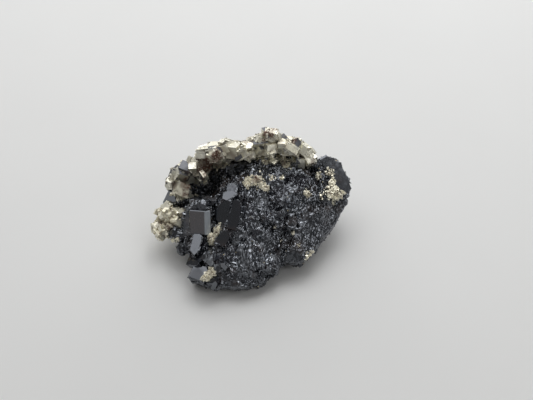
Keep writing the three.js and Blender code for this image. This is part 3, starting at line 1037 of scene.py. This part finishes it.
def mark_faces(mesh, seed, shade_spots):
    """Gives each flat crystal face a tone and the direction across its striations, and marks the hollows."""
    shape = bmesh.new()
    shape.from_mesh(mesh)
    bmesh.ops.triangulate(shape, faces=shape.faces)
    given = shape.faces.layers.float.get("given") or shape.faces.layers.float.new("given")
    tone = shape.faces.layers.float.new("tone")
    grain = shape.faces.layers.float_vector.new("grain")
    random = np.random.default_rng(seed)
    for group in flat_faces(shape):
        drawn = random.random()
        middle = group[0].calc_center_median()
        # Painted shade: faces at these spots keep only a share of their drawn tone, so they are darker and
        # duller
        if any((middle - place).length < reach for place, reach in shade_spots):
            drawn *= PAINTED_SHADE_SHARE
        value = max(face[given] for face in group) or drawn
        longest = max(rim_of(group) or group[0].edges, key=lambda edge: edge.calc_length())
        along = (longest.verts[1].co - longest.verts[0].co).normalized()
        across = along.cross(group[0].normal)
        for face in group:
            face[tone] = value
            face[grain] = across
    mark_hollows(shape)
    shape.to_mesh(mesh)
    shape.free()


def mark_hollows(shape):
    """Marks how far each point is shut in by what stands round it, from 0 in the open to 1."""
    hollow = shape.verts.layers.float.new("hollow")
    tree = BVHTree.FromBMesh(shape)
    shape.normal_update()
    golden_turn = math.pi * (3 - math.sqrt(5))
    rays = []
    for step in range(HOLLOW_RAYS):
        z = 1 - 2 * (step + 0.5) / HOLLOW_RAYS
        turn = step * golden_turn
        flat = math.sqrt(1 - z * z)
        rays.append(Vector((flat * math.cos(turn), flat * math.sin(turn), z)))
    for vert in shape.verts:
        start = vert.co + HOLLOW_LIFT * vert.normal
        open_rays = [ray for ray in rays if ray.dot(vert.normal) > HOLLOW_RISE]
        blocked = sum(tree.ray_cast(start, ray, HOLLOW_REACH)[0] is not None for ray in open_rays)
        vert[hollow] = blocked / max(1, len(open_rays))


def length_property(name, description, millimetres):
    return FloatProperty(name=name, description=description, default=millimetres * MM, unit="LENGTH")


def power_property(name, description, watts):
    return FloatProperty(name=name, description=description, default=watts, unit="POWER")


def number_property(name, description, number):
    return FloatProperty(name=name, description=description, default=number)


def colour_property(name, description, colour):
    return FloatVectorProperty(name=name, description=description, default=colour, subtype="COLOR")


class SphaleriteLook(bpy.types.PropertyGroup):
    """Sizes and colours of the sphalerite"""

    edge: length_property("Mesh Step", "Longest edge of the etched skin", 0.5)
    ledge: length_property("Ledge Size", "Size of the coarse ledges", 4.2)
    ledge_slope: number_property("Ledge Slope", "Steepness of the coarse ledges", 0.3)
    chip: length_property("Chip Size", "Size of the fine chips", 1.4)
    chip_slope: number_property("Chip Slope", "Steepness of the fine chips", 0.24)
    facet: number_property("Facet", "Size of the glittering facets, in millimetres", 1.5)
    facet_tilt: number_property("Facet Tilt", "Tilt of the glittering facets", 0.5)
    fleck: number_property("Fleck", "Width of the glittering flecks, in millimetres", 0.24)
    fleck_tilt: number_property("Fleck Tilt", "Tilt of the glittering flecks", 1.25)
    plate: FloatVectorProperty(
        name="Plate",
        description="Width, length and height of the plate on the stepped crystal",
        default=(6.6 * MM, 7.4 * MM, 1.0 * MM),
        unit="LENGTH",
    )
    face_wave: number_property("Face Wave", "Unevenness of the crystal faces", 0.06)
    grains: number_property("Grains", "Small crystals on a square millimetre", 0.05)
    grain_least: length_property("Smallest Grain", "Size of the smallest crystals", 0.4)
    grain_most: length_property("Largest Grain", "Size of the largest crystals", 1.2)
    laths: number_property("Laths", "Glittering laths on a square millimetre", 2.0)
    lath_least: length_property("Shortest Lath", "Length of the shortest laths", 0.5)
    lath_most: length_property("Longest Lath", "Length of the longest laths", 1.5)
    colour: colour_property("Colour", "Body colour", (0.008, 0.009, 0.012))
    brown: colour_property("Brown", "Body colour where it is brownish", (0.045, 0.03, 0.024))
    # Painted light: the lighter colour of the plate's one side, as if lit
    painted_lit_colour: colour_property("Bloom", "Body colour of the face with a pale bloom", (0.42, 0.46, 0.5))
    # Painted light: a blue tint on the reflections in place of a cool light
    tint: colour_property("Tint", "Colour of what it reflects", (0.86, 0.91, 1.0))
    flash: colour_property("Flash", "Body colour where it glitters most", (0.5, 0.53, 0.58))
    speck_colour: colour_property("Specks", "Colour of the pyrite specks", (0.5, 0.42, 0.26))
    region: length_property("Region", "Size of the regions whose crystals lie alike", 4.0)
    seed: IntProperty(name="Seed", description="Arrangement of the small crystals", default=4)


class PyriteLook(bpy.types.PropertyGroup):
    """Sizes and colours of the pyrite"""

    density: number_property("Density", "Middling crystals on a square millimetre", 0.2)
    least: length_property("Smallest", "Size of the smallest middling crystals", 1.2)
    most: length_property("Largest", "Size of the largest middling crystals", 3.2)
    fringe_density: number_property("Fringe Density", "Crystals on a square millimetre below the crust", 0.6)
    fringe_least: length_property("Fringe Smallest", "Size of the smallest crystals below the crust", 0.8)
    fringe_most: length_property("Fringe Largest", "Size of the largest crystals below the crust", 2.2)
    region: length_property("Region", "Size of the regions whose crystals lie alike", 5.0)
    fine_density: number_property("Fine Density", "Small crystals on a square millimetre", 1.0)
    fine_least: length_property("Fine Smallest", "Size of the smallest crystals", 0.35)
    fine_most: length_property("Fine Largest", "Size of the largest small crystals", 0.9)
    bare: FloatProperty(
        name="Bare Area",
        description="Area from which a face has fewer small crystals",
        default=6.0 * MM**2,
        unit="AREA",
    )
    flatness: number_property("Flatness", "Share of its height that a patch keeps", 0.28)
    grain_density: number_property("Grain Density", "Grains on a square millimetre of a spot", 7.0)
    grain_least: length_property("Smallest Grain", "Size of the smallest scattered grains", 0.2)
    grain_most: length_property("Largest Grain", "Size of the largest scattered grains", 0.8)
    mosaic: number_property("Mosaic", "Size of the patches on a face, in millimetres", 0.9)
    mosaic_tilt: number_property("Mosaic Tilt", "Tilt of the patches on a face", 0.2)
    striation: number_property("Striation", "Strength of the striations", 0.35)
    colour: colour_property("Colour", "Bright crystal faces", (0.96, 0.93, 0.79))
    cream: colour_property("Cream", "Freshest crystal faces", (1.0, 0.95, 0.76))
    grey: colour_property("Grey", "Duller crystal faces", (0.9, 0.88, 0.77))
    # Also the colour that most faces in painted shade take
    olive: colour_property("Olive", "Duller faces with a film on them", (0.68, 0.65, 0.53))
    # Also painted shade on the face in the crust's hollow
    dark: colour_property("Dark", "Faces that have gone dark", (0.16, 0.165, 0.18))
    # Also the colour of the painted shade in the hollows
    tarnish: colour_property("Tarnish", "Brown tarnish", (0.16, 0.088, 0.06))
    seed: IntProperty(name="Seed", description="Arrangement of the small crystals", default=9)


class StageLook(bpy.types.PropertyGroup):
    """The floor, the light and the camera"""

    floor: colour_property("Floor", "Colour of the sheet", (0.84, 0.845, 0.84))
    top: power_property("Top", "Power of the large light overhead", 1.45)
    back: power_property("Back", "Power of the large light at the back", 2.9)
    spark: power_property("Spark", "Power of the small light above", 0.3)
    fill: power_property("Fill", "Power of the light at the front right", 0.36)
    front: power_property("Front", "Power of the light at the front left", 0.12)
    air: number_property("Air", "Strength of the light from all round", 0.12)
    target: FloatVectorProperty(
        name="Target",
        description="Point that the camera looks at",
        default=(4.8 * MM, 6.84 * MM, 10.0 * MM),
        subtype="TRANSLATION",
        unit="LENGTH",
    )
    distance: length_property("Distance", "From the camera to its target", 230)
    elevation: FloatProperty(
        name="Elevation",
        description="Height of the view",
        default=math.radians(50),
        subtype="ANGLE",
    )
    lens: FloatProperty(name="Lens", description="Focal length", default=50.0, unit="CAMERA")


class SPECIMEN_OT_sphalerite(bpy.types.Operator):
    """Make the sphalerite mass with its etched skin and crystals"""

    bl_idname = "specimen.sphalerite"
    bl_label = "Sphalerite Mass"

    def execute(self, context):
        look = context.scene.sphalerite_look
        photo = Photo(context.scene.stage_look)
        shape = merged_copy("sphalerite_mass")
        mark_crystals(shape)
        raise_plate(shape, photo.place(*PLATE_SPOT), look.plate)
        split_long_edges(shape, look.edge)
        mark_etching(shape, photo.spots(OVERGROWN_SPOTS), photo.spots(CALM_SPOTS))
        mesh = bpy.data.meshes.new("sphalerite_shape")
        shape.to_mesh(mesh)
        shape.free()
        mark_spots(mesh, "glitter", photo.spots(GLITTER_SPOTS))
        values = {
            "Ledge Size": look.ledge,
            "Ledge Slope": look.ledge_slope,
            "Facet Size": look.chip,
            "Facet Slope": look.chip_slope,
            "Grain Density": look.grains / MM**2,
            "Grain Least": look.grain_least,
            "Grain Most": look.grain_most,
            "Lath Density": look.laths / MM**2,
            "Lath Least": look.lath_least,
            "Lath Most": look.lath_most,
            "Region Size": look.region,
            "Seed": look.seed,
            "Material": sphalerite_material(look, photo.spots(DULL_SPOTS)),
        }
        piece = grown("sphalerite", mesh, etching_tree(), values)
        keep_in_box(piece.data)
        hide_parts("sphalerite_mass")
        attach(piece, BODY)
        return {"FINISHED"}


class SPECIMEN_OT_pyrite(bpy.types.Operator):
    """Make the pyrite crust, cluster, tufts and patches"""

    bl_idname = "specimen.pyrite"
    bl_label = "Pyrite Growths"

    def execute(self, context):
        look = context.scene.pyrite_look
        photo = Photo(context.scene.stage_look)
        stains = photo.spots(STAIN_SPOTS)
        shade_spots = photo.spots(PAINTED_SHADE_SPOTS)
        materials = {name: pyrite_material(name, look, stains) for name in FINISHES}
        bare_faces = [(photo.place(across, down), tone) for across, down, tone in BARE_FACES]
        tree = growth_tree()
        mass = merged_copy("sphalerite_mass")
        ground = BVHTree.FromBMesh(mass)
        mass.free()
        for order, (node, (middling, small, size)) in enumerate(GROWTHS.items()):
            shape = merged_copy(node)
            if node in FLAT_GROWTHS:
                flatten(shape, ground, look.flatness)
            mark_growth(shape, look.bare, bare_faces if node == CRUST else [], shade_spots)
            mesh = bpy.data.meshes.new(node + "_shape")
            shape.to_mesh(mesh)
            shape.free()
            values = {
                "Density": middling * look.density / MM**2,
                "Least": look.least,
                "Most": look.most,
                "Fine Density": small * look.fine_density / MM**2,
                "Fine Least": size * look.fine_least,
                "Fine Most": size * look.fine_most,
                "Region Size": look.region,
                "Seed": look.seed + GROWTH_SEED * order,
                "Keep Surface": True,
                "Material": materials[TARNISHED if node == CRUST else FRESH],
            }
            piece = grown(node + "_crystals", mesh, tree, values)
            keep_in_box(piece.data)
            mark_faces(piece.data, look.seed + order, shade_spots)
            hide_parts(node)
            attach(piece, BODY)
        return {"FINISHED"}


class SPECIMEN_OT_sprinkle(bpy.types.Operator):
    """Make the small pyrite grains on the sphalerite and the fringe below the crust"""

    bl_idname = "specimen.sprinkle"
    bl_label = "Pyrite Grains and Fringe"

    def execute(self, context):
        look = context.scene.pyrite_look
        photo = Photo(context.scene.stage_look)
        grains = photo.spots(GRAIN_SPOTS)
        fringe = photo.spots(FRINGE_SPOTS)
        self.sow(look, "pyrite_grains", grains, FRESH, 0.0, look.grain_density)
        self.sow(look, "pyrite_fringe", fringe, TARNISHED, look.fringe_density, look.fine_density)
        return {"FINISHED"}

    def sow(self, look, name, spots, finish, middling, small):
        """Grows middling and small crystals on the sphalerite's skin, at these spots alone."""
        mesh = bpy.data.objects["sphalerite"].data.copy()
        for share in ("growth", "bulk"):
            mark_spots(mesh, share, spots)
        values = {
            "Density": middling / MM**2,
            "Least": look.fringe_least,
            "Most": look.fringe_most,
            "Fine Density": small / MM**2,
            "Fine Least": look.grain_least,
            "Fine Most": look.grain_most,
            "Region Size": look.region,
            "Seed": look.seed + SPRINKLE_SEED,
            "Keep Surface": False,
            "Material": bpy.data.materials[finish],
        }
        piece = grown(name, mesh, bpy.data.node_groups["pyrite_growth"], values)
        keep_in_box(piece.data)
        mark_faces(piece.data, look.seed + SPRINKLE_TONE_SEED, [])
        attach(piece, BODY)


class SPECIMEN_OT_stage(bpy.types.Operator):
    """Make the floor, the light and the camera"""

    bl_idname = "specimen.stage"
    bl_label = "Stage"

    def execute(self, context):
        look = context.scene.stage_look
        self.lay_floor(context, look)
        for name in LIGHTS:
            self.hang_light(context, look, name)
        world = bpy.data.worlds.new("studio")
        world.use_nodes = True
        sky = world.node_tree.nodes["Background"].inputs
        sky["Strength"].default_value = look.air
        sky["Color"].default_value = (*AIR_COLOUR, 1.0)
        context.scene.world = world
        self.place_camera(context, look)
        context.scene.view_settings.view_transform = "Standard"
        return {"FINISHED"}

    def lay_floor(self, context, look):
        shape = bmesh.new()
        bmesh.ops.create_grid(shape, x_segments=FLOOR_STEPS, y_segments=FLOOR_STEPS, size=FLOOR_REACH)
        mesh = bpy.data.meshes.new("floor")
        shape.to_mesh(mesh)
        shape.free()
        mesh.materials.append(floor_material(look))
        floor = bpy.data.objects.new("floor", mesh)
        context.scene.collection.objects.link(floor)

    def hang_light(self, context, look, name):
        away, size = LIGHTS[name]
        lamp = bpy.data.lights.new(name + "_light", "AREA")
        lamp.shape = "RECTANGLE"
        lamp.size, lamp.size_y = size
        lamp.energy = getattr(look, name)
        holder = bpy.data.objects.new(lamp.name, lamp)
        holder.location = Vector(look.target) + Vector(away)
        holder.rotation_euler = (-Vector(away)).to_track_quat("-Z", "Y").to_euler()
        context.scene.collection.objects.link(holder)

    def place_camera(self, context, look):
        lens = bpy.data.cameras.new("camera")
        lens.lens = look.lens
        lens.sensor_width = SENSOR
        lens.sensor_fit = "HORIZONTAL"
        lens.clip_start = CLIP_START
        camera = bpy.data.objects.new("camera", lens)
        back = view_axis(look)
        camera.location = Vector(look.target) + look.distance * back
        camera.rotation_euler = (-back).to_track_quat("-Z", "Y").to_euler()
        context.scene.collection.objects.link(camera)
        context.scene.camera = camera


class SPECIMEN_PT_panel(bpy.types.Panel):
    """The specimen's settings and the steps that build it"""

    bl_label = "Specimen"
    bl_idname = "SPECIMEN_PT_panel"
    bl_space_type = "VIEW_3D"
    bl_region_type = "UI"
    bl_category = "Specimen"

    def draw(self, context):
        for group in LOOKS:
            box = self.layout.box()
            look = getattr(context.scene, group)
            for key in look.bl_rna.properties.keys():
                if key not in {"rna_type", "name"}:
                    box.prop(look, key)
        for step in STEPS:
            self.layout.operator(step.bl_idname)


STEPS = (SPECIMEN_OT_sphalerite, SPECIMEN_OT_pyrite, SPECIMEN_OT_sprinkle, SPECIMEN_OT_stage)
LOOKS = {"sphalerite_look": SphaleriteLook, "pyrite_look": PyriteLook, "stage_look": StageLook}


def register():
    for kind in (*LOOKS.values(), *STEPS, SPECIMEN_PT_panel):
        bpy.utils.register_class(kind)
    for name, kind in LOOKS.items():
        setattr(bpy.types.Scene, name, PointerProperty(type=kind))


def unregister():
    for name in LOOKS:
        delattr(bpy.types.Scene, name)
    for kind in reversed((*LOOKS.values(), *STEPS, SPECIMEN_PT_panel)):
        bpy.utils.unregister_class(kind)


def main():
    register()
    bpy.ops.specimen.sphalerite()
    bpy.ops.specimen.pyrite()
    bpy.ops.specimen.sprinkle()
    bpy.ops.specimen.stage()


if __name__ == "__main__":
    main()
